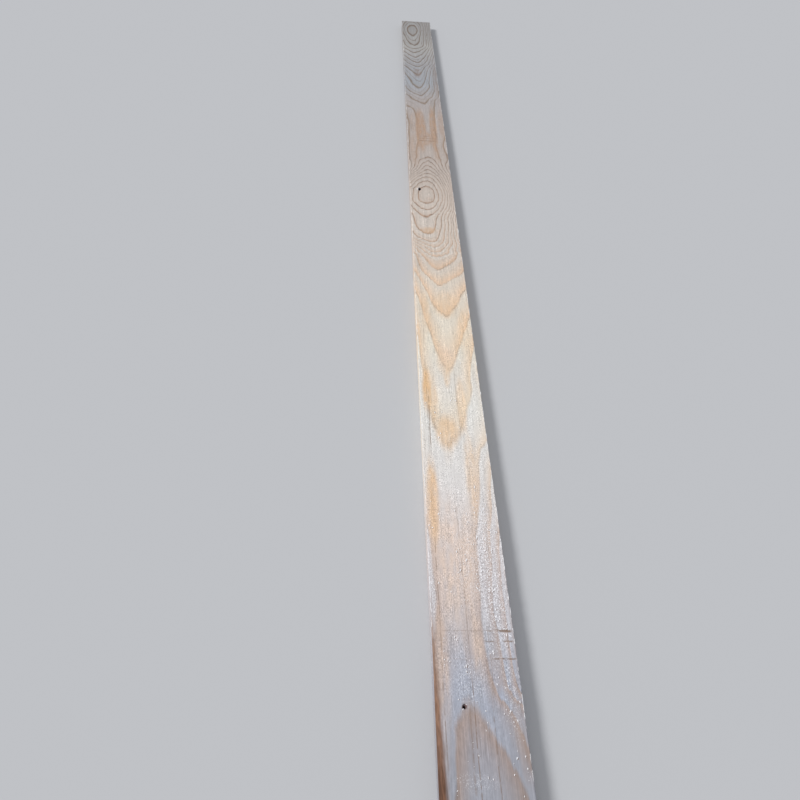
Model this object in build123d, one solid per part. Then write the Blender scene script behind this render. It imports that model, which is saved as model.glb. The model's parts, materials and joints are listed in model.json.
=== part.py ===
from build123d import *
import math
import os

# Sawn pine plank, one piece of stock, in millimetres.
# X runs across the plank, Y along it from the near end to the far end, Z up.
# The origin is at the middle of the underside, which lies on the floor.

# Stock sizes
plank_width = 100.0
plank_thickness = 22.0
plank_length = 2400.0

# The saw leaves the long arrises sharp, and handling rounds them off a little
arris_break = 0.5

# Wane: the strip of the log's own outside left on the upper left arris,
# widest at the near end and gone after its length
wane_width = 10.0
wane_drop = 8.0
wane_length = 220.0
log_radius = 130.0

# Nail holes, right through, each with the recess that the sunk head punched
nail_hole_diameter = 3.2
head_recess_diameter = 5.2
head_recess_depth = 2.5
far_nail_from_near_end = 1257.5
far_nail_from_left_edge = 22.0
near_nail_from_near_end = 161.5
near_nail_from_left_edge = 32.8

# Cutting tools start this far outside the wood
cut_margin = 5.0

left_edge = -plank_width / 2
near_end = -plank_length / 2


def sawn_stock():
    """The square-sawn plank with its arrises lightly broken."""
    aligned = (Align.CENTER, Align.CENTER, Align.MIN)
    stock = Box(plank_width, plank_length, plank_thickness, align=aligned)
    return chamfer(stock.edges(), arris_break)


def wane_section(width, drop):
    """What lies outside the log on the upper left corner of a cross-section.

    The log's outside is a convex arc from the side face to the top face."""
    on_side = Vector(left_edge, plank_thickness - drop)
    on_top = Vector(left_edge + width, plank_thickness)
    chord = on_top - on_side
    bulge = log_radius - math.sqrt(log_radius**2 - (chord.length / 2) ** 2)
    outward = Vector(-chord.Y, chord.X).normalized()
    crown = (on_side + on_top) / 2 + outward * bulge
    run_out = chord.normalized() * cut_margin
    corner = Vector(left_edge - 2 * cut_margin, plank_thickness + 2 * cut_margin)
    with BuildLine() as outline:
        ThreePointArc(on_side, crown, on_top)
        Polyline(on_top, on_top + run_out, corner, on_side - run_out, on_side)
    return make_face(outline.line.edges())


def wane_cutter():
    """The wood that the wane lacks, narrowing to nothing along the plank."""
    # The cutter starts before the near end and runs past the wane's vanishing point
    start = -cut_margin
    finish = wane_length * (1 - arris_break / wane_width)
    sections = []
    for along in (start, finish):
        share = 1 - along / wane_length
        flat = wane_section(wane_width * share, wane_drop * share)
        plane = Plane(origin=(0, near_end + along, 0), x_dir=(1, 0, 0), z_dir=(0, -1, 0))
        sections.append(plane * flat)
    return loft(sections, ruled=True)


def nail_hole(from_left_edge, from_near_end):
    """A through hole for the shank, with the wider head recess at the top face."""
    x = left_edge + from_left_edge
    y = near_end + from_near_end
    upward = (Align.CENTER, Align.CENTER, Align.MIN)
    shank_height = plank_thickness + 2 * cut_margin
    shank = Cylinder(nail_hole_diameter / 2, shank_height, align=upward)
    head_height = head_recess_depth + cut_margin
    head = Cylinder(head_recess_diameter / 2, head_height, align=upward)
    recess_floor = plank_thickness - head_recess_depth
    return Pos(x, y, -cut_margin) * shank + Pos(x, y, recess_floor) * head


def plank():
    """The whole plank: sawn stock, less its wane and its nail holes."""
    wood = sawn_stock() - wane_cutter()
    wood -= nail_hole(near_nail_from_left_edge, near_nail_from_near_end)
    wood -= nail_hole(far_nail_from_left_edge, far_nail_from_near_end)
    return wood


os.makedirs("parts", exist_ok=True)
export_step(plank().solid(), "parts/plank.step")
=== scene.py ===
import json
import math

import bpy
import numpy as np
from mathutils import Matrix, Vector


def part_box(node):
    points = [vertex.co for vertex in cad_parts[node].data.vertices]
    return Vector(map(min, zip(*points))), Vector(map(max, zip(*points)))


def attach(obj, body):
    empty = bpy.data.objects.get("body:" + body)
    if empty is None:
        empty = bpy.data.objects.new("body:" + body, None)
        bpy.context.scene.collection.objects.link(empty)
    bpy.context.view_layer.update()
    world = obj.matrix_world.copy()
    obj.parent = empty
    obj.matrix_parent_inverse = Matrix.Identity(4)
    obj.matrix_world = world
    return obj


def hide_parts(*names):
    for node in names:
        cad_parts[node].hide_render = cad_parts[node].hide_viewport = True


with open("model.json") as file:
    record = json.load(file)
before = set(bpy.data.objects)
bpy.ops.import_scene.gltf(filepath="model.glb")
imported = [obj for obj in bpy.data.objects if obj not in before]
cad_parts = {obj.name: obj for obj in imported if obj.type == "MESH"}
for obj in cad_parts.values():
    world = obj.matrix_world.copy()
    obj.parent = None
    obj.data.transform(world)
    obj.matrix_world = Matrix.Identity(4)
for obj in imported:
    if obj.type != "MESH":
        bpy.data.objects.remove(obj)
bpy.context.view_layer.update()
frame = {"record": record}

# A sawn pine plank, lying flat. Sizes are in millimetres unless a comment says otherwise.
# "Across" is measured from the plank's left edge, "along" from its near end, and "depth"
# down from its top face.

MM = 0.001

low_corner, high_corner = (Vector(corner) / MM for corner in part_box("plank"))
width, length, thickness = high_corner - low_corner

nail_holes = []
for mount in frame["record"]["mounts"]:
    if mount["kind"] == "bore":
        hole_across = mount["pos_m"][0] / MM + width / 2
        hole_along = mount["pos_m"][1] / MM + length / 2
        nail_holes.append((hole_across, hole_along))
        shank_radius = mount["dims"]["r_mm"]
        shank_wall = mount["dims"]["length_mm"]
near_nail, far_nail = nail_holes

# Radius of the recess that each nail's sunk head punched, as in the solid
head_radius = 2.6

# The sawn skin lies this far inside the solid, and its raised fibres fill the room left
top_room = 0.42
side_room = 0.38

# How far the long arrises and the arrises round both ends are worn down
arris_break = 0.7
end_break = 0.4

# Wane, as in the solid: widest at the near end, gone after its length, and bulging
wane_width = 10.0
wane_drop = 8.0
wane_length = 220.0
wane_bulge = 0.16

# Grain of the top face, station by station from the near end: where the middle line of the
# figure runs, the growth ring that it has reached there, how far the figure spreads to the
# left and to the right, and how round it is. The spread is the square of the distance in
# which one more ring comes up. Roundness 2 draws ovals and 1.3 draws pointed tongues.
grain_stations = [
    # along, middle, ring, left spread, right spread, roundness
    (0, 44, 16.6, 950, 2600, 2.0),
    (85, 43, 17.25, 870, 2650, 2.0),
    (110, 41, 17.45, 950, 2350, 2.0),
    (130, 39, 17.68, 1160, 2350, 2.0),
    (148, 37.5, 17.88, 1800, 2300, 2.0),
    (165, 37, 18.0, 1700, 1700, 2.0),
    (200, 36, 18.24, 1750, 1230, 2.0),
    (245, 36, 18.4, 1900, 1240, 2.0),
    (300, 36, 18.4, 1500, 1290, 2.0),
    (350, 36, 18.34, 1550, 1400, 2.0),
    (400, 37, 18.24, 2050, 1600, 2.0),
    (460, 38, 18.1, 2800, 1900, 2.0),
    (520, 39, 18.0, 3100, 2700, 1.8),
    (550, 40.5, 17.86, 3000, 3400, 1.7),
    (600, 43.5, 17.55, 2500, 2950, 1.6),
    (640, 47, 17.25, 2240, 2200, 1.6),
    (677, 50, 17.0, 2000, 1700, 1.6),
    (740, 52, 16.56, 1750, 1600, 1.6),
    (815, 54, 16.0, 1700, 2000, 1.6),
    (860, 52, 15.5, 1450, 2350, 1.6),
    (905, 50, 15.0, 1400, 2500, 1.6),
    (955, 48, 14.0, 1300, 2600, 1.6),
    (985, 47, 13.4, 1100, 2400, 1.6),
    (998, 46, 13.0, 900, 1900, 1.6),
    (1012, 44, 12.0, 650, 1200, 1.6),
    (1030, 42, 11.0, 530, 780, 1.6),
    (1048, 39, 10.0, 560, 720, 1.8),
    (1078, 35, 9.0, 850, 620, 2.0),
    (1110, 33, 8.35, 900, 640, 2.0),
    (1142, 32, 8.0, 750, 620, 2.0),
    (1171, 34, 7.0, 700, 610, 2.0),
    (1197, 36, 6.0, 740, 530, 2.0),
    (1235, 38, 5.2, 600, 430, 2.0),
    (1272, 39, 6.0, 560, 420, 2.1),
    (1298, 41, 7.0, 500, 420, 2.1),
    (1333, 46, 9.0, 420, 400, 1.8),
    (1352, 47, 10.0, 415, 430, 1.5),
    (1372, 47, 11.0, 480, 520, 1.4),
    (1395, 47, 12.0, 700, 760, 1.3),
    (1415, 48, 13.0, 1050, 1250, 1.4),
    (1480, 48, 13.45, 1320, 1420, 1.6),
    (1575, 48, 13.52, 1340, 2030, 1.6),
    (1650, 50, 13.4, 1500, 1600, 1.7),
    (1690, 51.5, 13.2, 2050, 1450, 1.5),
    (1717, 52, 13.0, 3000, 1300, 1.3),
    (1745, 50, 12.5, 2800, 1000, 1.3),
    (1770, 47, 12.0, 1640, 1200, 1.4),
    (1822, 40, 11.0, 1500, 1150, 1.5),
    (1917, 43, 10.0, 1500, 700, 1.6),
    (1985, 42, 9.0, 1500, 760, 1.6),
    (2018, 41, 8.0, 1200, 800, 1.7),
    (2062, 40, 7.0, 1150, 760, 1.7),
    (2100, 39, 6.0, 1150, 760, 1.7),
    (2135, 39, 5.0, 1150, 760, 1.7),
    (2165, 39, 4.0, 1150, 760, 1.8),
    (2210, 38, 3.46, 1000, 700, 2.0),
    (2252, 37, 3.0, 900, 600, 2.0),
    (2310, 37, 2.6, 900, 600, 2.0),
    (2365, 37, 3.0, 900, 650, 2.0),
    (2400, 35, 3.6, 900, 850, 2.0),
]
# The most that each column may hold, because a curve node's values run from 0 to 1
grain_limits = (length, width, 20.0, 4000.0, 4000.0, 2.5)

# The log's pith runs this far below the top face, outside the plank
pith_depth = 100.0

# Patches on the top face, in which the wood looks different:
# across, along, half their width, half their length, strength
resin_patches = [
    (11, 425, 8, 72, 1.0),
    (12, 634, 8, 52, 1.0),
    (69, 475, 9, 75, 0.4),
    (39, 548, 18, 34, 0.6),
    (21, 605, 8, 60, 0.4),
    (66, 600, 8, 62, 0.45),
    (46, 668, 6, 30, 0.5),
    (45, 700, 14, 35, 0.35),
    (84, 780, 12, 60, 0.35),
    (18, 830, 10, 60, 0.35),
    (55, 850, 25, 40, 0.35),
    (36, 1091, 17, 12, 0.45),
]
brown_patches = [
    (36, 1560, 14, 115, 0.95),
    (70, 1565, 9, 130, 0.95),
    (46, 1510, 25, 38, 0.7),
    (17, 1450, 10, 80, 0.45),
    (19, 1600, 10, 60, 0.35),
    (72, 1440, 8, 52, 0.4),
    (92, 1600, 8, 80, 0.4),
    (93, 1890, 7, 110, 0.45),
    (40, 1935, 11, 34, 0.6),
    (36, 1090, 17, 11, 0.3),
    (42, 1211, 10, 14, 0.3),
    (25, 110, 7, 45, 0.12),
    (46, 242, 9, 55, 0.3),
    (70, 198, 8, 22, 0.3),
    (10, 215, 8, 60, 0.35),
    (93, 145, 7, 55, 0.25),
]
blush_patches = [
    (30, 335, 26, 100, 0.8),
    (50, 330, 16, 90, 0.8),
    (14, 400, 12, 90, 0.4),
    (48, 720, 16, 40, 0.4),
    (11, 215, 10, 95, 0.45),
    (54, 235, 8, 42, 0.7),
]
fuzz_patches = [
    (78, 325, 19, 125, 0.9),
    (54, 330, 16, 75, 0.4),
    (42, 188, 26, 26, 0.45),
    (3, 305, 5, 60, 0.6),
    (88, 175, 10, 50, 0.4),
    (40, 90, 24, 10, 0.3),
]


def linear(colour):
    """An sRGB hex colour as linear red, green, blue and alpha."""
    shares = [int(colour[i : i + 2], 16) / 255 for i in (1, 3, 5)]
    return (*(s / 12.92 if s <= 0.04045 else ((s + 0.055) / 1.055) ** 2.4 for s in shares), 1.0)


def add(tree, kind, feeds=None, **settings):
    """Adds a node with its settings and links.

    feeds gives inputs, by name or by number, a value, a socket or a node. Only sockets in
    use count, and a node stands for its first output."""
    made = tree.nodes.new(kind)
    for name, value in settings.items():
        setattr(made, name, value)
    in_use = [socket for socket in made.inputs if socket.enabled]
    named = {socket.name: socket for socket in in_use}
    for key, feed in (feeds or {}).items():
        target = in_use[key] if isinstance(key, int) else named[key]
        if isinstance(feed, bpy.types.Node):
            feed = next(socket for socket in feed.outputs if socket.enabled)
        if isinstance(feed, bpy.types.NodeSocket):
            tree.links.new(feed, target)
        else:
            target.default_value = feed
    return made


def lay_tones(ramp, stops, reach):
    """Lays stops on a colour ramp, each a place up to reach and an sRGB hex or a shade."""
    elements = ramp.color_ramp.elements
    while len(elements) < len(stops):
        elements.new(0.5)
    for element, (at, tone) in zip(elements, stops):
        element.position = at / reach
        element.color = linear(tone) if isinstance(tone, str) else (tone, tone, tone, 1.0)
    return ramp


def along_plank(tree, share, stops):
    """Tones laid along the plank, each at its distance from the near end."""
    return lay_tones(add(tree, "ShaderNodeValToRGB", {"Fac": share}), stops, length)


def over_ring(tree, fraction, stops):
    """Shades laid over one growth ring, from its first wood at 0 to its last at 1."""
    return lay_tones(add(tree, "ShaderNodeValToRGB", {"Fac": fraction}), stops, 1.0)


def fibre_noise(tree, across_size, along_size, detail=2.0):
    """Noise in streaks along the fibres, each about across_size by along_size."""
    place = add(tree, "ShaderNodeTexCoord").outputs["Object"]
    across_scale, along_scale = 1 / (across_size * MM), 1 / (along_size * MM)
    stretched = add(
        tree, "ShaderNodeMapping",
        {"Vector": place, "Scale": (across_scale, along_scale, across_scale)},
    )
    return add(
        tree, "ShaderNodeTexNoise", {"Vector": stretched, "Scale": 1.0, "Detail": detail}
    )


def smooth_noise(seed, across, along, cell_across, cell_along):
    """Seeded noise from -1 to 1 over a face, smooth from cell to cell."""
    columns, rows = np.broadcast_arrays(across / cell_across, along / cell_along)
    column, row = np.floor(columns).astype(int), np.floor(rows).astype(int)
    column_count = int(width / cell_across) + 4
    row_count = int(length / cell_along) + 4
    chance = np.random.default_rng(seed).uniform(-1, 1, (row_count, column_count))
    x, y = columns - column, rows - row
    x, y = x * x * (3 - 2 * x), y * y * (3 - 2 * y)
    near = chance[row, column] * (1 - x) + chance[row, column + 1] * x
    far = chance[row + 1, column] * (1 - x) + chance[row + 1, column + 1] * x
    return near * (1 - y) + far * y


def patchwork(patches, across, along, firmness=1.0):
    """How strongly the patches show at each point, from 0 to 1, fading out at their rims."""
    strongest = np.zeros(np.broadcast(across, along).shape)
    for patch_across, patch_along, half_width, half_length, strength in patches:
        away = np.hypot((across - patch_across) / half_width, (along - patch_along) / half_length)
        inside = np.clip(firmness * (1.3 - away), 0, 1)
        strongest = np.maximum(strongest, strength * inside * inside * (3 - 2 * inside))
    return strongest


# Camera, held over the near end and looking along the plank as the photograph does
camera_place = Vector((-133.9, -1218.0, 741.0)) * MM
camera_heading = 4.69
camera_tilt_down = 48.78
camera_roll = 5.13
frame_pixels = 800
focal_pixels = 600.0


def hold_camera():
    camera = bpy.data.cameras.new("camera_over_near_end")
    camera.sensor_width = 36.0
    camera.lens = camera.sensor_width * focal_pixels / frame_pixels
    camera.clip_start = 0.01
    holder = bpy.data.objects.new("camera_over_near_end", camera)
    turn = Matrix.Rotation(math.radians(-camera_heading), 4, "Z")
    tilt = Matrix.Rotation(math.radians(90 - camera_tilt_down), 4, "X")
    roll = Matrix.Rotation(math.radians(camera_roll), 4, "Z")
    holder.matrix_world = Matrix.Translation(camera_place) @ turn @ tilt @ roll
    bpy.context.scene.collection.objects.link(holder)
    bpy.context.scene.camera = holder


hold_camera()


# Growth rings

def grain_curve(tree, share_along, column):
    """A column of the grain stations as a curve over the plank, read at share_along."""
    made = add(tree, "ShaderNodeFloatCurve", {"Value": share_along})
    mapping = made.mapping
    mapping.use_clip = False
    curve = mapping.curves[0]
    for _ in range(len(grain_stations) - 2):
        curve.points.new(0.5, 0.5)
    limit = grain_limits[column]
    for point, station in zip(curve.points, grain_stations):
        point.location = (station[0] / length, station[column] / limit)
        point.handle_type = "AUTO_CLAMPED"
    mapping.update()
    return add(tree, "ShaderNodeMath", {0: made, 1: limit}, operation="MULTIPLY")


def shaken(tree, value, noise, reach):
    """A distance, moved to and fro by the noise, over reach in all."""
    offset = add(tree, "ShaderNodeMath", {0: noise, 1: 0.5}, operation="SUBTRACT")
    return add(
        tree, "ShaderNodeMath", {0: offset, 1: reach, 2: value}, operation="MULTIPLY_ADD"
    )


def rings_passed(tree, across, along, depth):
    """How many rings there are from the pith to each point of the wood."""
    # The saw tears each ring's edge into fingers about 2 mm wide that run with the fibres
    torn_along = shaken(tree, along, fibre_noise(tree, 2.4, 30), 16.0)
    share = add(
        tree, "ShaderNodeMath", {0: torn_along, 1: length}, operation="DIVIDE", use_clamp=True
    )
    middle, ring, left_spread, right_spread, roundness = (
        grain_curve(tree, share, column) for column in range(1, len(grain_limits))
    )

    # No ring is a true circle: each wanders a few millimetres over a hand's breadth
    swayed = shaken(tree, across, fibre_noise(tree, 30, 90), 14.0)
    aside = add(tree, "ShaderNodeMath", {0: swayed, 1: middle}, operation="SUBTRACT")

    # Distance from the middle line, raised to the roundness and counted in rings
    on_left = add(tree, "ShaderNodeMath", {0: aside, 1: 0.0}, operation="LESS_THAN")
    spread = add(
        tree, "ShaderNodeMix", {"Factor": on_left, "A": right_spread, "B": left_spread},
        data_type="FLOAT",
    )
    distance = add(tree, "ShaderNodeMath", {0: aside}, operation="ABSOLUTE")
    raised = add(tree, "ShaderNodeMath", {0: distance, 1: roundness}, operation="POWER")
    evening = add(tree, "ShaderNodeMath", {0: 2.0, 1: roundness}, operation="SUBTRACT")
    evened = add(tree, "ShaderNodeMath", {0: width / 2, 1: evening}, operation="POWER")
    bulge = add(tree, "ShaderNodeMath", {0: raised, 1: evened}, operation="MULTIPLY")
    rings_aside = add(tree, "ShaderNodeMath", {0: bulge, 1: spread}, operation="DIVIDE")

    # Wood below the sawn face lies nearer the pith and belongs to earlier rings
    to_pith = add(
        tree, "ShaderNodeMath", {0: pith_depth + top_room, 1: depth}, operation="SUBTRACT"
    )
    squared = add(tree, "ShaderNodeMath", {0: to_pith, 1: 2.0}, operation="POWER")
    nearer = add(tree, "ShaderNodeMath", {0: squared, 1: pith_depth**2}, operation="SUBTRACT")
    twice_nearer = add(tree, "ShaderNodeMath", {0: nearer, 1: 2.0}, operation="MULTIPLY")
    both_spreads = add(
        tree, "ShaderNodeMath", {0: left_spread, 1: right_spread}, operation="ADD"
    )
    rings_below = add(
        tree, "ShaderNodeMath", {0: twice_nearer, 1: both_spreads}, operation="DIVIDE"
    )
    on_face = add(tree, "ShaderNodeMath", {0: ring, 1: rings_aside}, operation="ADD")
    return add(tree, "ShaderNodeMath", {0: on_face, 1: rings_below}, operation="ADD")


def growth_rings():
    """The log's growth rings as a solid pattern, so that every face cut through it agrees.

    Rings are shells round the pith. They bulge where knots once pushed the wood aside,
    and the saw's flat cut through the bulges leaves ovals, tongues and flames."""
    tree = bpy.data.node_groups.new("growth_rings", "ShaderNodeTree")
    for name in ("Latewood", "Edge Line", "Share", "Along", "Across", "Depth"):
        tree.interface.new_socket(name, in_out="OUTPUT", socket_type="NodeSocketFloat")
    place = add(tree, "ShaderNodeTexCoord").outputs["Object"]
    parts = add(tree, "ShaderNodeSeparateXYZ", {0: place})
    across, along, depth = (
        add(
            tree, "ShaderNodeMath", {0: parts.outputs[axis], 1: per_metre, 2: at_origin},
            operation="MULTIPLY_ADD",
        )
        for axis, per_metre, at_origin in (
            ("X", 1 / MM, width / 2), ("Y", 1 / MM, length / 2), ("Z", -1 / MM, thickness),
        )
    )
    share = add(tree, "ShaderNodeMath", {0: along, 1: length}, operation="DIVIDE")
    number = rings_passed(tree, across, along, depth)
    fraction = add(tree, "ShaderNodeMath", {0: number}, operation="FRACT")

    # Each ring starts as pale earlywood, darkens into latewood and ends at a sharp edge.
    # The near half grew fast, so its latewood is broad; further along it is a thin line.
    broad = over_ring(
        tree, fraction,
        [(0.0, 0.5), (0.08, 0.0), (0.3, 0.08), (0.55, 0.38), (0.8, 0.8), (0.93, 1.0),
         (1.0, 0.6)],
    )
    narrow = over_ring(
        tree, fraction, [(0.0, 0.3), (0.06, 0.0), (0.5, 0.08), (0.8, 0.25), (0.94, 1.0)]
    )
    fine_line = over_ring(
        tree, fraction, [(0.0, 0.7), (0.02, 0.0), (0.93, 0.0), (0.985, 1.0)]
    )
    coarse_line = over_ring(
        tree, fraction, [(0.0, 0.8), (0.07, 0.0), (0.82, 0.0), (0.93, 1.0)]
    )
    slow_growth = add(
        tree, "ShaderNodeMapRange", {"Value": along, "From Min": 930, "From Max": 1120}
    )

    # In places a dry spell left a second, false line halfway through each ring
    halfway = over_ring(tree, fraction, [(0.38, 0.0), (0.46, 0.85), (0.54, 0.0)])
    dry_spells = along_plank(
        tree, share,
        [(1000, 1.0), (1055, 0.9), (1085, 0.0), (1690, 0.0), (1740, 0.7), (2050, 0.6),
         (2062, 0.0), (2170, 0.0), (2190, 0.8)],
    )
    false_line = add(
        tree, "ShaderNodeMath", {0: halfway, 1: dry_spells}, operation="MULTIPLY"
    )
    given = {"Share": share, "Along": along, "Across": across, "Depth": depth}
    for name, fast, slow in (
        ("Latewood", broad, narrow), ("Edge Line", fine_line, coarse_line)
    ):
        doubled = add(tree, "ShaderNodeMath", {0: slow, 1: false_line}, operation="MAXIMUM")
        given[name] = add(
            tree, "ShaderNodeMix", {"Factor": slow_growth, "A": fast, "B": doubled},
            data_type="FLOAT",
        )
    add(tree, "NodeGroupOutput", given)
    return tree


rings = growth_rings()


# Wood surfaces

def new_material(name):
    material = bpy.data.materials.new(name)
    material.use_nodes = True
    material.node_tree.nodes.clear()
    return material


def matt_surface(material, colour, roughness, shine, bumps=None):
    """Gives a material its surface: no metal, rough, and with little or no shine."""
    tree = material.node_tree
    feeds = {
        "Base Color": colour, "Roughness": roughness, "IOR": 1.5, "Specular IOR Level": shine,
    }
    if bumps:
        feeds["Normal"] = bumps
    skin = add(tree, "ShaderNodeBsdfPrincipled", feeds)
    add(tree, "ShaderNodeOutputMaterial", {"Surface": skin})
    return material


def grown_colour(tree, grain, faded):
    """Pale earlywood, darker latewood and a thin outline where each ring ends. All are
    greyer and darker towards both ends of the plank than in its middle: partly the wood's
    own tone and partly painted shade. The blue-grey of the near end is a painted
    reflection of the sky."""
    share = grain.outputs["Share"]
    # Both tones hold painted shade along the plank: darker and greyer at both ends, with a
    # painted sky reflection in the blue-grey at the near end
    early = along_plank(
        tree, share,
        [(0, "#9A9CA2"), (105, "#A1A3AC"), (190, "#AAAFBC"), (250, "#C4C3C8"),
         (350, "#D5D0D1"), (450, "#DEDAD7"), (600, "#E2E0DA"), (650, "#E0DBD3"),
         (740, "#E5DDCD"), (935, "#DACEC0"), (975, "#D1C5B9"), (1000, "#D5CCC2"),
         (1230, "#C9BEB4"), (1400, "#BAAFA7"), (1750, "#ADA6A4"), (1865, "#A3A7AD"),
         (2000, "#A4A4A7"), (2150, "#ABA9A6"), (2300, "#9E9D9C")],
    )
    late = along_plank(
        tree, share,
        [(0, "#95867C"), (105, "#A0908A"), (300, "#C0B0AA"), (420, "#DAC5B4"),
         (530, "#E6D5C2"), (600, "#E8D8C2"), (740, "#E7CBAD"), (910, "#E3C6AA"),
         (1090, "#C8A88F"), (1220, "#B99A83"), (1350, "#A68F7F"), (1560, "#A18B77"),
         (1865, "#8D867E"), (2400, "#756A61")],
    )
    colour = add(
        tree, "ShaderNodeMix", {"Factor": grain.outputs["Latewood"], "A": early, "B": late},
        data_type="RGBA",
    )
    strength = along_plank(
        tree, share,
        [(200, 0.12), (900, 0.4), (1080, 0.5), (1250, 0.6), (1300, 0.7), (1390, 0.75),
         (1430, 0.25), (1700, 0.25), (1850, 0.4), (2000, 0.65), (2050, 1.0), (2150, 1.0),
         (2220, 0.75), (2300, 0.95)],
    )
    uneven = add(tree, "ShaderNodeMath", {0: strength, 1: faded}, operation="MULTIPLY")
    outline = add(
        tree, "ShaderNodeMath", {0: grain.outputs["Edge Line"], 1: uneven},
        operation="MULTIPLY", use_clamp=True,
    )
    return add(
        tree, "ShaderNodeMix", {"Factor": outline, "A": colour, "B": linear("#77665B")},
        data_type="RGBA",
    )


def stain_in_patches(tree, grain, colour):
    """Yellow resin, brown heart colour that darkens towards the far end partly as painted shade,
    and a pink blush, all ragged at their rims.
    """
    ragged = add(
        tree, "ShaderNodeMapRange",
        {
            "Value": fibre_noise(tree, 7, 26),
            "From Min": 0.32, "From Max": 0.58, "To Min": 0.45,
        },
    )
    # The heart brown darkens towards the far end, partly as painted shade, as the rest of the
    # wood does
    heart_brown_and_far_shade = along_plank(
        tree, grain.outputs["Share"], [(1650, "#B19580"), (1900, "#8C7D75")]
    )
    for name, stain in (
        ("resin", linear("#E6C095")), ("heartwood", heart_brown_and_far_shade), ("blush", linear("#E0C9B8"))
    ):
        patch = add(tree, "ShaderNodeAttribute", attribute_name=name).outputs["Fac"]
        shown = add(tree, "ShaderNodeMath", {0: patch, 1: ragged}, operation="MULTIPLY")
        colour = add(
            tree, "ShaderNodeMix", {"Factor": shown, "A": colour, "B": stain},
            data_type="RGBA",
        )
    return colour


def fleck(tree, colour, fuzz, tuft):
    """Torn fibres show as white dots, painted highlights, with painted shade in the pits between
    them.
    """
    # First the painted shade of the pits, then the painted white highlights
    for starts_at, full_at, strength, tone in (
        (0.48, 0.34, 0.5, "#A3968F"), (0.54, 0.66, 1.0, "#F6F6F8")
    ):
        dots = add(
            tree, "ShaderNodeMapRange",
            {"Value": tuft, "From Min": starts_at, "From Max": full_at, "To Max": strength},
        )
        shown = add(tree, "ShaderNodeMath", {0: fuzz, 1: dots}, operation="MULTIPLY")
        colour = add(
            tree, "ShaderNodeMix", {"Factor": shown, "A": colour, "B": linear(tone)},
            data_type="RGBA",
        )
    return colour


def streak(tree, grain, colour, faded):
    """Fibre streaks finer than a millimetre, broad bands as long as a hand, fine mottling,
    and a coarser grit where the saw left the wood rougher, away from the near end."""
    everywhere = [(0, 1.0), (length, 1.0)]
    away_from_near_end = [(120, 0.0), (210, 1.0), (1350, 1.0), (1450, 0.35), (1850, 1.0)]
    # Size across and along the fibres, detail, how far the tone swings, and where
    for across_size, along_size, detail, swing, where in (
        (0.9, 50, 2.0, 0.34, everywhere),
        (5.5, 170, 2.0, 0.14, everywhere),
        (3.6, 8, 4.0, 0.2, everywhere),
        (0.9, 2.6, 1.0, 0.6, away_from_near_end),
    ):
        shade = add(
            tree, "ShaderNodeMapRange",
            {
                "Value": fibre_noise(tree, across_size, along_size, detail),
                "From Min": 0.3, "From Max": 0.7,
                "To Min": 1 - swing / 2, "To Max": 1 + swing / 2,
            },
        )
        strength = along_plank(tree, grain.outputs["Share"], where)
        shown = add(tree, "ShaderNodeMath", {0: strength, 1: faded}, operation="MULTIPLY")
        colour = add(
            tree, "ShaderNodeMix", {"Factor": shown, "A": colour, "B": shade},
            data_type="RGBA", blend_type="MULTIPLY",
        )
    return colour


def stroke(tree, face, sideways, lengthwise, line_at, half_width, start, stop, strength):
    """A straight mark on one face, fading to 0 at half_width and at both its ends."""
    off_line = add(tree, "ShaderNodeMath", {0: sideways, 1: line_at}, operation="SUBTRACT")
    off_line = add(tree, "ShaderNodeMath", {0: off_line}, operation="ABSOLUTE")
    fade = 0.18 * (stop - start)
    shown = face
    for value, none_at, full_at, most in (
        (off_line, half_width, 0.2 * half_width, 1.0),
        (lengthwise, start, start + fade, 1.0),
        (lengthwise, stop, stop - fade, strength),
    ):
        part = add(
            tree, "ShaderNodeMapRange",
            {"Value": value, "From Min": none_at, "From Max": full_at, "To Max": most},
        )
        shown = add(tree, "ShaderNodeMath", {0: shown, 1: part}, operation="MULTIPLY")
    return shown


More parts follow.
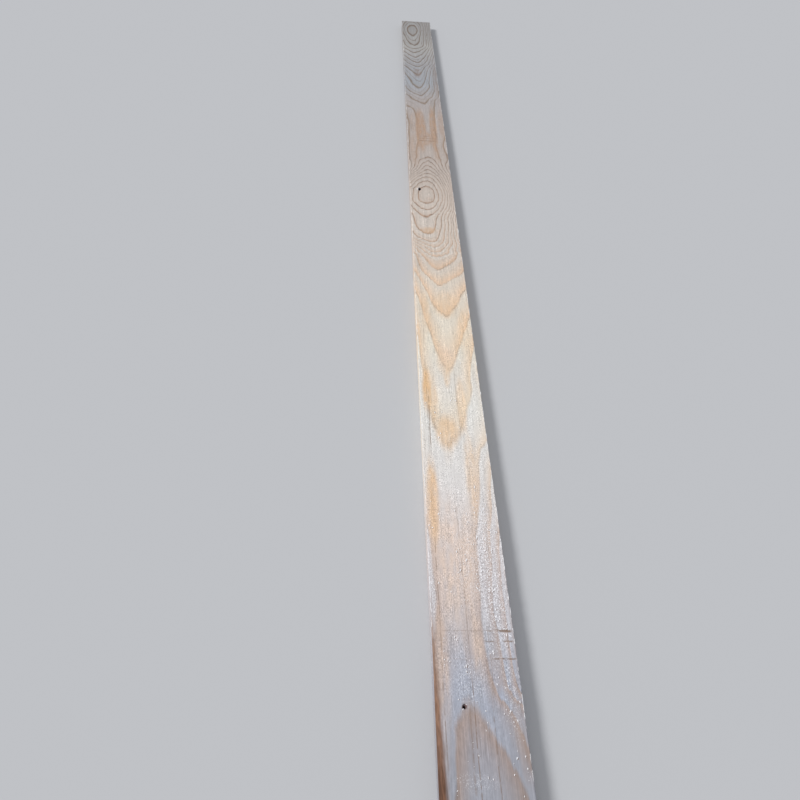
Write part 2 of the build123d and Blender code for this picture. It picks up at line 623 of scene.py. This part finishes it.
def mark(tree, grain, colour):
    """Thin brown resin canals along the plank, and burns where the saw paused across it."""
    across, along = grain.outputs["Across"], grain.outputs["Along"]
    broken = fibre_noise(tree, 6, 9)
    canal_across = add(
        tree, "ShaderNodeMath", {0: fibre_noise(tree, 30, 120), 1: 5.0, 2: across},
        operation="MULTIPLY_ADD",
    )
    burn_along = add(
        tree, "ShaderNodeMath", {0: broken, 1: 3.0, 2: along}, operation="MULTIPLY_ADD"
    )
    top_face, underside = (
        add(
            tree, "ShaderNodeMapRange",
            {"Value": grain.outputs["Depth"], "From Min": none_at, "From Max": full_at},
        )
        for none_at, full_at in ((2.0, 1.0), (thickness - 2.0, thickness - 1.0))
    )

    # Each line: how far across or along it lies, half its width, its start and stop, strength
    canals_on_top = [
        (13.5, 0.9, 60, 430, 0.55), (13.5, 0.9, 400, 1250, 0.4), (16.0, 1.1, 500, 640, 0.75),
        (62.0, 0.9, 520, 700, 0.35), (40.5, 1.8, 0, 190, 0.35), (46.0, 1.0, 40, 205, 0.6),
        (46.5, 0.8, 190, 480, 0.4), (67.0, 1.0, 40, 170, 0.5), (70.0, 0.9, 180, 260, 0.4),
    ]
    canals_below = [
        (31.0, 1.0, 60, 900, 0.45), (74.0, 0.9, 500, 1700, 0.4), (52.0, 1.2, 1500, 2300, 0.5),
    ]
    burns = [
        (247, 2.4, 76, 99, 0.85), (247, 1.2, 60, 84, 0.6), (247, 1.0, 6, 70, 0.3),
        (234.5, 1.6, 83, 102, 0.7), (234.5, 1.3, 60, 76, 0.55), (214.5, 1.3, 68, 103, 0.75),
        (214.5, 1.0, 20, 60, 0.2), (213.5, 3.0, 84.5, 88.5, 1.0), (1499, 3.0, 24, 78, 0.5),
        (1512, 2.5, 30, 76, 0.4), (1524, 2.5, 22, 60, 0.4),
    ]
    strongest = 0.0
    for face, sideways, lengthwise, lines in (
        (top_face, canal_across, along, canals_on_top),
        (underside, canal_across, along, canals_below),
        (top_face, burn_along, across, burns),
    ):
        for line in lines:
            shown = stroke(tree, face, sideways, lengthwise, *line)
            strongest = add(
                tree, "ShaderNodeMath", {0: strongest, 1: shown}, operation="MAXIMUM"
            )
    dashes = add(
        tree, "ShaderNodeMapRange", {"Value": broken, "From Min": 0.36, "From Max": 0.52}
    )
    marked = add(tree, "ShaderNodeMath", {0: strongest, 1: dashes}, operation="MULTIPLY")
    return add(
        tree, "ShaderNodeMix", {"Factor": marked, "A": colour, "B": linear("#7C634F")},
        data_type="RGBA",
    )


def stain_round_nails(tree, grain, colour):
    """Iron has stained the wood grey-blue round each nail hole."""
    place = add(
        tree, "ShaderNodeCombineXYZ", {0: grain.outputs["Across"], 1: grain.outputs["Along"]}
    )
    halo_width = 1.2
    for hole_across, hole_along in nail_holes:
        away = add(
            tree, "ShaderNodeVectorMath", {0: place, 1: (hole_across, hole_along, 0)},
            operation="DISTANCE",
        )
        halo = add(
            tree, "ShaderNodeMapRange",
            {
                "Value": away, "From Min": head_radius + halo_width,
                "From Max": head_radius, "To Max": 0.45,
            },
        )
        colour = add(
            tree, "ShaderNodeMix", {"Factor": halo, "A": colour, "B": linear("#6F6A70")},
            data_type="RGBA",
        )
    return colour


def lay_bark(tree, grain, colour):
    """On the wane the wood is the log's own outside: brown, with shreds of inner bark.
    Its brown is partly painted shade: darker at the near end and towards the wane's
    outer rim, and carried down the plank's side.
    """
    across, along, depth = (grain.outputs[name] for name in ("Across", "Along", "Depth"))
    stain_length = 1.35 * wane_length
    wane_left = add(
        tree, "ShaderNodeMapRange",
        {"Value": along, "From Min": stain_length, "From Max": 0.0, "To Max": wane_width},
        clamp=False,
    )
    stain_rim = add(
        tree, "ShaderNodeMath", {0: fibre_noise(tree, 3.0, 22), 1: 6.0, 2: 0.5},
        operation="MULTIPLY_ADD",
    )
    stained_to = add(tree, "ShaderNodeMath", {0: stain_rim, 1: wane_left}, operation="ADD")
    inside = add(tree, "ShaderNodeMath", {0: stained_to, 1: across}, operation="SUBTRACT")
    beside = add(
        tree, "ShaderNodeMapRange",
        {"Value": inside, "From Min": -0.5, "From Max": 5.5},
        interpolation_type="SMOOTHSTEP",
    )

    # On the plank's side the brown reaches half as far again below the top face as the wane;
    # there it is partly a stain and partly painted shade
    brown_and_shade_slope = 1.5 * wane_drop / wane_width
    brown_and_shade_down_to = add(
        tree, "ShaderNodeMath", {0: wane_left, 1: brown_and_shade_slope, 2: 1.0},
        operation="MULTIPLY_ADD",
    )
    above_rim = add(
        tree, "ShaderNodeMath", {0: brown_and_shade_down_to, 1: depth}, operation="SUBTRACT"
    )
    over = add(tree, "ShaderNodeMapRange", {"Value": above_rim, "From Max": 2.5})
    waned = add(tree, "ShaderNodeMath", {0: beside, 1: over}, operation="MULTIPLY")

    # The wane's brown, darkened partly as painted shade, most at the near end
    bark = along_plank(
        tree, grain.outputs["Share"],
        [(0, "#5F4131"), (85, "#6C4C3A"), (125, "#80604E"), (165, "#8A6955"),
         (225, "#9E8272"), (300, "#B8A293")],
    )
    # Painted shade: darker towards the wane's outer rim at the plank's left edge
    painted_shade_at_outer_rim = add(
        tree, "ShaderNodeMapRange",
        {"Value": inside, "From Min": 3.5, "From Max": 9.0, "To Min": 1.0, "To Max": 0.75},
    )
    shredded = add(
        tree, "ShaderNodeMapRange",
        {
            "Value": fibre_noise(tree, 1.6, 13, 4.0),
            "From Min": 0.3, "From Max": 0.7, "To Min": 0.62, "To Max": 1.38,
        },
    )
    for shade in (painted_shade_at_outer_rim, shredded):
        bark = add(
            tree, "ShaderNodeMix", {"Factor": 1.0, "A": bark, "B": shade},
            data_type="RGBA", blend_type="MULTIPLY",
        )
    return add(
        tree, "ShaderNodeMix", {"Factor": waned, "A": colour, "B": bark}, data_type="RGBA"
    )


def saw_relief(tree, fuzz, tuft):
    """Relief too fine for the mesh: fibres, saw tooth lines and woolly tufts."""
    fibres = fibre_noise(tree, 0.7, 11)
    # The saw's teeth left lines 5.2 mm apart, and a wave texture of scale 1 has them
    # every pi / 10 metres
    tooth_pitch = 5.2 * MM
    teeth = add(
        tree, "ShaderNodeTexWave",
        {
            "Vector": add(tree, "ShaderNodeTexCoord").outputs["Object"],
            "Scale": math.pi / 10 / tooth_pitch,
            "Distortion": 1.6,
            "Detail": 2.0,
            "Detail Scale": 0.4,
        },
        bands_direction="Y",
    )
    relief = add(
        tree, "ShaderNodeMath", {0: teeth.outputs["Fac"], 1: 0.12, 2: fibres},
        operation="MULTIPLY_ADD",
    )
    woolly = add(tree, "ShaderNodeMath", {0: tuft, 1: fuzz}, operation="MULTIPLY")
    relief = add(
        tree, "ShaderNodeMath", {0: woolly, 1: 2.2, 2: relief}, operation="MULTIPLY_ADD"
    )
    return add(
        tree, "ShaderNodeBump", {"Height": relief, "Distance": 0.16 * MM, "Strength": 0.9}
    )


def sawn_pine():
    """Pine, band-sawn and left rough: dry, matt and faintly fuzzy, pale where the soft
    earlywood is exposed and orange or tan where the firm latewood is. Saw tooth lines cross
    it, its fibres give it a fine lengthwise streak, and it has almost no shine."""
    material = new_material("sawn_pine")
    tree = material.node_tree
    grain = add(tree, "ShaderNodeGroup", node_tree=rings)
    fuzz = add(tree, "ShaderNodeAttribute", attribute_name="fuzz").outputs["Fac"]
    tuft = fibre_noise(tree, 0.95, 1.6, 1.0)
    # The saw smeared some stretches, in which outlines and streaks are fainter
    faded = add(
        tree, "ShaderNodeMapRange",
        {
            "Value": fibre_noise(tree, 11, 42),
            "From Min": 0.36, "From Max": 0.58, "To Min": 0.35, "To Max": 1.2,
        },
    )
    colour = grown_colour(tree, grain, faded)
    colour = stain_in_patches(tree, grain, colour)
    colour = fleck(tree, colour, fuzz, tuft)
    colour = streak(tree, grain, colour, faded)
    colour = mark(tree, grain, colour)
    colour = stain_round_nails(tree, grain, colour)
    colour = lay_bark(tree, grain, colour)
    return matt_surface(material, colour, 0.78, 0.3, saw_relief(tree, fuzz, tuft))


def cross_cut_pine():
    """End grain, cross-cut with a coarse saw: it drinks the light, so it is darker and more
    yellow than the faces. The growth rings show as arcs, with fine checks along the rays."""
    material = new_material("cross_cut_pine_end_grain")
    tree = material.node_tree
    grain = add(tree, "ShaderNodeGroup", node_tree=rings)
    colour = add(
        tree, "ShaderNodeMix",
        {"Factor": grain.outputs["Latewood"], "A": linear("#CDBCA3"), "B": linear("#A2876A")},
        data_type="RGBA",
    )
    checks = fibre_noise(tree, 0.6, 400, 3.0)
    hairline = add(
        tree, "ShaderNodeMapRange",
        {"Value": checks, "From Min": 0.3, "From Max": 0.42, "To Min": 0.62},
    )
    colour = add(
        tree, "ShaderNodeMix", {"Factor": 1.0, "A": colour, "B": hairline},
        data_type="RGBA", blend_type="MULTIPLY",
    )
    bumps = add(
        tree, "ShaderNodeBump", {"Height": checks, "Distance": 0.3 * MM, "Strength": 0.8}
    )
    return matt_surface(material, colour, 0.85, 0.2, bumps)


def plain_material(name, colour, roughness, shine):
    return matt_surface(new_material(name), linear(colour), roughness, shine)


pine = sawn_pine()
end_grain = cross_cut_pine()
# Wood crushed by the near nail and stained by its iron, darkened further as painted shade in the
# hole: a dull purple-brown spot
crushed_and_shaded_wood = plain_material("crushed_wood_and_painted_shade_in_nail_hole", "#84706F", 0.9, 0.2)
# Wood that the far nail split and its rust darkened, painted near black as shade in the deep hole
rusted_and_shaded_wood = plain_material("rust_and_painted_shade_in_nail_hole", "#2E2728", 0.9, 0.2)
# Fibres torn up by the saw: thin, dry and pale, painted almost white as a highlight, so they show
# as bright flecks
pale_fibre_and_highlight = plain_material("torn_pine_fibre_and_painted_highlight", "#FAFAFC", 0.8, 0.25)
# Painted shade: a dark sliver laid beside each torn fibre, where the hollow it left would be
# shaded
painted_fibre_shadow = plain_material("painted_fibre_shadow_finish", "#83716A", 0.9, 0.2)


# The plank's sawn skin

def wane_share(along):
    return np.clip(1 - along / wane_length, 0, 1)


def top_height(across, along):
    """Height of the sawn top face, with the waves and ridges that the saw left on it."""
    waves = smooth_noise(51, across, along, 24.0, 55.0) * 0.05
    ridges = smooth_noise(52, across, along, 3.3, 16.0) * 0.05
    fuzz = patchwork(fuzz_patches, across, along)
    wool = smooth_noise(53, across, along, 1.7, 3.1) * 0.07 * fuzz
    return thickness - top_room + waves + ridges + wool


def stations_along():
    """Stations of the cross-sections: finer at the near end, where the camera comes close."""
    fine_step, coarse_step, fine_end = 2.5, 4.5, 650.0
    fine = np.arange(fine_step, fine_end, fine_step)
    coarse = np.arange(fine_end, length - fine_step, coarse_step)
    return np.array([0.0, end_break, *fine, *coarse, length - end_break, length])


def side_by_side(start, finish, cells):
    """Points from start to finish in every cross-section, without the last one."""
    share = (np.arange(cells) / cells)[None, :, None]
    return start[:, None, :] * (1 - share) + finish[:, None, :] * share


# Faces round a cross-section: over the top and the underside, each edge, and the wane
face_cells, edge_cells, wane_cells = 60, 5, 3


def plank_sections():
    """Points of all cross-sections, each one a loop that starts at its lower left."""
    along = stations_along()
    still = np.zeros_like(along)
    at_end = (along < end_break / 2) | (along > length - end_break / 2)
    shrink = np.where(at_end, end_break, 0.0)

    def ragged_arris(seed):
        fine = smooth_noise(seed, still, along, 1.0, 7.0) * 0.22
        broad = smooth_noise(seed + 1, still, along, 1.0, 50.0) * 0.18
        return arris_break + fine + broad

    wavy = 1 + 0.13 * smooth_noise(31, still, along, 1.0, 24.0)
    wane_across = np.maximum(wane_width * wane_share(along) * wavy, ragged_arris(21))
    wane_down = np.maximum(wane_drop * wane_share(along) * wavy, ragged_arris(23))
    lower_left, lower_right, upper_right = (ragged_arris(seed) for seed in (11, 13, 15))
    left, right = side_room + shrink, width - side_room - shrink
    bottom, top = still + shrink, thickness - top_room - shrink

    def corner(across, height):
        return np.stack([across, along, height], axis=1)

    corners = [
        (corner(left + lower_left, bottom), face_cells),
        (corner(right - lower_right, bottom), 1),
        (corner(right, bottom + lower_right), edge_cells),
        (corner(right, top - upper_right), 1),
        (corner(right - upper_right, top), face_cells),
        (corner(left + wane_across, top), wane_cells),
        (corner(left, top - wane_down), edge_cells),
        (corner(left, bottom + lower_left), 1),
    ]
    runs = []
    for (start, cells), (finish, _) in zip(corners, corners[1:] + corners[:1]):
        runs.append(side_by_side(start, finish, cells))

    # Relief on every face, but not on the two end sections. The wane's inner points lie a
    # third of the way in from its rims, where its arc is less high than at its crown, and
    # move out square to its slope.
    arc_share = 4 / wane_cells * (1 - 1 / wane_cells)
    out_across, out_up = 0.6, 0.8
    underside, right_edge, top_face, wane, left_edge = (runs[i] for i in (0, 2, 4, 5, 6))
    rough = ~at_end[:, None]
    stations = along[:, None]
    hollows = 0.5 + 0.5 * smooth_noise(61, underside[:, 1:, 0], stations, 4.0, 20.0)
    underside[:, 1:, 2] += rough * 0.12 * hollows
    right_edge[:, 1:, 0] -= rough * 0.16 * smooth_noise(62, right_edge[:, 1:, 2], stations, 4, 18)
    left_edge[:, 1:, 0] += rough * 0.16 * smooth_noise(63, left_edge[:, 1:, 2], stations, 4, 18)
    relief = top_height(top_face[:, 1:, 0], stations) - (thickness - top_room)
    top_face[:, 1:, 2] += rough * relief
    shreds = 0.12 * smooth_noise(64, wane[:, 1:, 0], stations, 2.5, 12.0)
    swell = rough * wane_share(stations) * (wane_bulge * arc_share + shreds)
    wane[:, 1:, 0] -= swell * out_across
    wane[:, 1:, 2] += swell * out_up
    return np.concatenate(runs, axis=1)


def plank_skin():
    points = plank_sections()
    rows, around = points.shape[:2]
    faces = []
    for row in range(rows - 1):
        here, there = row * around, (row + 1) * around
        for column in range(around):
            beside = (column + 1) % around
            faces.append((here + column, there + column, there + beside, here + beside))
    side_faces = len(faces)

    # Each end is closed with quads from underside to top face and a face at either edge
    top_start = face_cells + edge_cells + 2
    near_end = []
    for cell in range(face_cells):
        above = top_start + face_cells - cell
        near_end.append((cell, cell + 1, above - 1, above))
    near_end.append(tuple(range(face_cells, top_start + 1)))
    near_end.append((0, *range(top_start + face_cells, around)))
    last_row = (rows - 1) * around
    faces += near_end
    faces += [tuple(last_row + corner for corner in reversed(face)) for face in near_end]

    mesh = bpy.data.meshes.new("sawn_plank")
    placed = points.reshape(-1, 3) - np.array([width / 2, length / 2, 0])
    mesh.from_pydata((placed * MM).tolist(), [], faces)
    mesh.materials.append(pine)
    mesh.materials.append(end_grain)
    for face in mesh.polygons[side_faces:]:
        face.material_index = 1

    # The patches stain only the top face and its arrises
    across, along, height = points.reshape(-1, 3).T
    patch_depth = 1.2
    on_top = height > thickness - patch_depth
    for name, patches, firmness in (
        ("resin", resin_patches, 1.3), ("heartwood", brown_patches, 1.7),
        ("blush", blush_patches, 1.0), ("fuzz", fuzz_patches, 1.0),
    ):
        shown = patchwork(patches, across, along, firmness) * on_top
        mesh.attributes.new(name, "FLOAT", "POINT").data.foreach_set("value", shown)
    piece = bpy.data.objects.new("sawn_plank", mesh)
    bpy.context.scene.collection.objects.link(piece)
    return piece


# Mouths of the nail holes, near one first: half the width and half the length that tore out
# of the top face, how uneven the rim is, how deep the tear goes, and which finish it has
torn_mouths = ((2.6, 2.9, 0.35, 1.0, crushed_and_shaded_wood), (3.3, 7.0, 0.12, 2.3, rusted_and_shaded_wood))


def nail_punch():
    """What the two nails and their heads took out of the wood, as one closed cutter each.

    Under the head the fibres tore out along the grain, so the mouth is not quite round."""
    sides = 28
    overlap = 2.0
    turn = np.arange(sides) * 2 * math.pi / sides
    uneven_rim = np.cos(2 * turn - 0.9) ** 3
    mesh = bpy.data.meshes.new("nail_punch")
    corners, faces, finishes = [], [], []
    for (hole_across, hole_along), torn_mouth in zip(nail_holes, torn_mouths):
        half_width, half_length, unevenness, torn_depth, finish = torn_mouth
        mesh.materials.append(finish)
        mouth = 1 / np.hypot(np.cos(turn) / half_width, np.sin(turn) / half_length)
        mouth = mouth * (1 + unevenness * uneven_rim)
        mouth = np.maximum(mouth, head_radius)
        shank = np.full(sides, shank_radius)
        head = np.full(sides, head_radius)
        profile = [
            (shank, -overlap),
            (shank, shank_wall),
            (head, shank_wall),
            (head, thickness - torn_depth),
            (mouth, thickness - top_room),
            (mouth, thickness + overlap),
        ]
        first = len(corners)
        for radius, height in profile:
            x = hole_across - width / 2 + radius * np.cos(turn)
            y = hole_along - length / 2 + radius * np.sin(turn)
            corners += [(a * MM, b * MM, height * MM) for a, b in zip(x, y)]
        for level in range(len(profile) - 1):
            for side in range(sides):
                a = first + level * sides + side
                b = first + level * sides + (side + 1) % sides
                faces.append((a, b, b + sides, a + sides))
        faces.append(tuple(reversed(range(first, first + sides))))
        last = first + (len(profile) - 1) * sides
        faces.append(tuple(range(last, last + sides)))
        finishes += [len(mesh.materials) - 1] * (len(faces) - len(finishes))
    mesh.from_pydata(corners, [], faces)
    mesh.polygons.foreach_set("material_index", finishes)
    punch = bpy.data.objects.new("nail_punch", mesh)
    bpy.context.scene.collection.objects.link(punch)
    return punch


def cut(piece, tool):
    """Cuts the tool's shape out of the piece and takes the tool away."""
    modifier = piece.modifiers.new("cut", "BOOLEAN")
    modifier.object = tool
    modifier.operation = "DIFFERENCE"
    modifier.solver = "EXACT"
    modifier.material_mode = "TRANSFER"
    bpy.context.view_layer.update()
    shaped = piece.evaluated_get(bpy.context.evaluated_depsgraph_get())
    piece.data = bpy.data.meshes.new_from_object(shaped)
    piece.modifiers.clear()
    bpy.data.objects.remove(tool)


def fit_to_plank(piece):
    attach(piece, "root")
    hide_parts("plank")


sawn_plank = plank_skin()
cut(sawn_plank, nail_punch())
sawn_plank.data.shade_smooth()
sawn_plank.data.set_sharp_from_angle(angle=math.radians(38))
fit_to_plank(sawn_plank)


# Raised fibres

# Torn fibres are rooted this far below the skin
root_depth = 0.02


def slivers(roots, headings, sizes, widths, lifts):
    """Closed slivers of wood, each rooted in the skin and lifting towards its tip."""
    # Along the sliver, across it, and up: as shares of its length, its width and its lift
    shape = np.array([
        (0.0, 0.0, -0.3),
        (0.3, -0.5, 0.0), (0.3, 0.5, 0.0), (0.35, 0.0, 0.45),
        (0.75, -0.4, 0.4), (0.75, 0.4, 0.4), (0.75, 0.0, 0.95),
        (1.0, 0.1, 0.85),
    ])
    sides = [
        (0, 1, 2), (0, 2, 3), (0, 3, 1), (4, 5, 2, 1), (5, 6, 3, 2), (6, 4, 1, 3),
        (7, 5, 4), (7, 6, 5), (7, 4, 6),
    ]
    forward = shape[None, :, 0] * sizes[:, None]
    sideways = shape[None, :, 1] * widths[:, None]
    up = shape[None, :, 2] * lifts[:, None]
    sine, cosine = np.sin(headings)[:, None], np.cos(headings)[:, None]
    across = roots[:, None, 0] + forward * sine + sideways * cosine
    along = roots[:, None, 1] + forward * cosine - sideways * sine
    height = roots[:, None, 2] + up
    across = np.clip(across, 0.0, width)
    along = np.clip(along, 0.0, length)
    height = np.clip(height, 0.0, thickness)
    corners = np.stack([across - width / 2, along - length / 2, height], axis=2)
    faces = [
        tuple(corner + one * len(shape) for corner in side)
        for one in range(len(roots))
        for side in sides
    ]
    return (corners.reshape(-1, 3) * MM).tolist(), faces


def torn_spots():
    """Where the saw tore fibres up: thick in the woolly patches, sparse further along."""
    chance = np.random.default_rng(7)
    tries = 60000
    torn_length, edge_gap, wane_gap = 900, 1.5, 3
    across = chance.uniform(edge_gap, width - edge_gap, tries)
    along = torn_length * chance.uniform(0, 1, tries) ** 1.15
    # Most stand in clumps about a centimetre wide, and a few stand alone
    fuzz = patchwork(fuzz_patches, across, along)
    clumps = np.clip(smooth_noise(71, across, along, 8, 13) - 0.1, 0, 1) / 0.9
    thinning = np.clip(1.1 - along / 700, 0.08, 1)
    kept = chance.uniform(0, 1, tries) < 0.035 * thinning * clumps + 0.4 * fuzz * clumps
    kept |= chance.uniform(0, 1, tries) < 0.0018 * thinning
    kept &= across > wane_width * wane_share(along) + wane_gap
    across, along = across[kept], along[kept]
    count = len(across)
    sizes = chance.lognormal(math.log(1.45), 0.4, count)
    # Further from the camera only the larger ones show, so they are made larger further along
    sizes = sizes * (1 + along / torn_length)
    widths = np.clip(sizes * chance.uniform(0.25, 0.5, count), 0.45, 1.2)
    headings = chance.normal(0, math.radians(25), count)
    headings += math.pi * chance.integers(0, 2, count)
    return across, along, sizes, widths, headings


def rooted(across, along):
    """Roots of torn fibres in the top face."""
    return np.stack([across, along, top_height(across, along) - root_depth], axis=1)


def raised_fibres():
    across, along, sizes, widths, headings = torn_spots()
    # Each nail also pushed a few fibres up beside its hole
    for (nail_across, nail_along), aside, ahead, size, fibre_width, heading in (
        (near_nail, -2.2, -4.0, 2.6, 0.9, 0.25),
        (near_nail, 2.9, 1.5, 2.2, 0.7, -0.9),
        (far_nail, -4.1, -5.0, 9.0, 1.3, 0.06),
        (far_nail, -5.2, -2.0, 6.0, 0.9, -0.1),
    ):
        across = np.append(across, nail_across + aside)
        along = np.append(along, nail_along + ahead)
        sizes = np.append(sizes, size)
        widths = np.append(widths, fibre_width)
        headings = np.append(headings, heading)
    lifts = np.random.default_rng(8).uniform(0.25, 0.5, len(across))
    return slivers(rooted(across, along), headings, sizes, widths, lifts)


def painted_fibre_shadows():
    """Painted shade beside each torn fibre: a flat dark sliver where its hollow would be, a
    little shorter and narrower than it.
    """
    across, along, sizes, widths, headings = torn_spots()
    roots = rooted(across + 0.75 * widths + 0.15, along - 0.2 * sizes)
    lifts = np.full(len(across), 0.08)
    return slivers(roots, headings, 0.9 * sizes, 0.9 * widths, lifts)


def arris_splinters():
    """Splinters that hang on along the sawn arrises."""
    chance = np.random.default_rng(9)
    corners, faces = [], []
    tries, inset = 420, side_room + 0.5
    # None reaches past either end, and none hangs on the wane
    first_root, last_root = 4, length - 20
    for edge, outward in ((inset, -1), (width - inset, 1)):
        along = chance.uniform(first_root, last_root, tries)
        if outward < 0:
            along = along[along > wane_length]
        count = len(along)
        across = edge - outward * chance.uniform(0.0, 0.5, count)
        height = thickness - top_room - chance.uniform(0.05, 0.4, count)
        sizes = chance.uniform(3, 13, count)
        headings = outward * chance.uniform(0.01, 0.07, count)
        widths = chance.uniform(0.35, 0.8, count)
        lifts = chance.uniform(0.2, 0.45, count)
        roots = np.stack([across, along, height], axis=1)
        more_corners, more_faces = slivers(roots, headings, sizes, widths, lifts)
        faces += [tuple(corner + len(corners) for corner in face) for face in more_faces]
        corners += more_corners
    return corners, faces


for name, (corners, faces), finish in (
    ("raised_fibres", raised_fibres(), pale_fibre_and_highlight),
    ("painted_fibre_shadows", painted_fibre_shadows(), painted_fibre_shadow),
    ("arris_splinters", arris_splinters(), pale_fibre_and_highlight),
):
    mesh = bpy.data.meshes.new(name)
    mesh.from_pydata(corners, [], faces)
    mesh.materials.append(finish)
    piece = bpy.data.objects.new(name, mesh)
    bpy.context.scene.collection.objects.link(piece)
    fit_to_plank(piece)


# Studio

def studio():
    # The floor reaches 60 m each way, so that its rim never shows
    reach = 60.0
    floor_mesh = bpy.data.meshes.new("studio_floor")
    floor_mesh.from_pydata(
        [(-reach, -reach, 0), (reach, -reach, 0), (reach, reach, 0), (-reach, reach, 0)],
        [], [(0, 1, 2, 3)],
    )
    floor = bpy.data.objects.new("studio_floor", floor_mesh)
    bpy.context.scene.collection.objects.link(floor)
    floor_mesh.materials.append(plain_material("matt_paper_floor", "#C3C4C6", 1.0, 0.0))

    # Light from all round, which also looks as pale as the floor does, so no horizon shows
    world = bpy.data.worlds.new("studio_air")
    world.use_nodes = True
    tree = world.node_tree
    tree.nodes.clear()
    air = add(tree, "ShaderNodeBackground", {"Color": linear("#F6F8FD"), "Strength": 0.57})
    add(tree, "ShaderNodeOutputWorld", {"Surface": air})
    bpy.context.scene.world = world

    # A far, broad lamp on the left, so that all of the long plank gets the same light
    lamp = bpy.data.lights.new("broad_lamp_left", "SUN")
    lamp.angle = math.radians(16)
    lamp.energy = 2.1
    holder = bpy.data.objects.new("broad_lamp_left", lamp)
    shining = Vector((3.0, 0.0, -2.6))
    holder.matrix_world = shining.to_track_quat("-Z", "Y").to_matrix().to_4x4()
    bpy.context.scene.collection.objects.link(holder)


studio()

bpy.context.scene.view_settings.view_transform = "Standard"
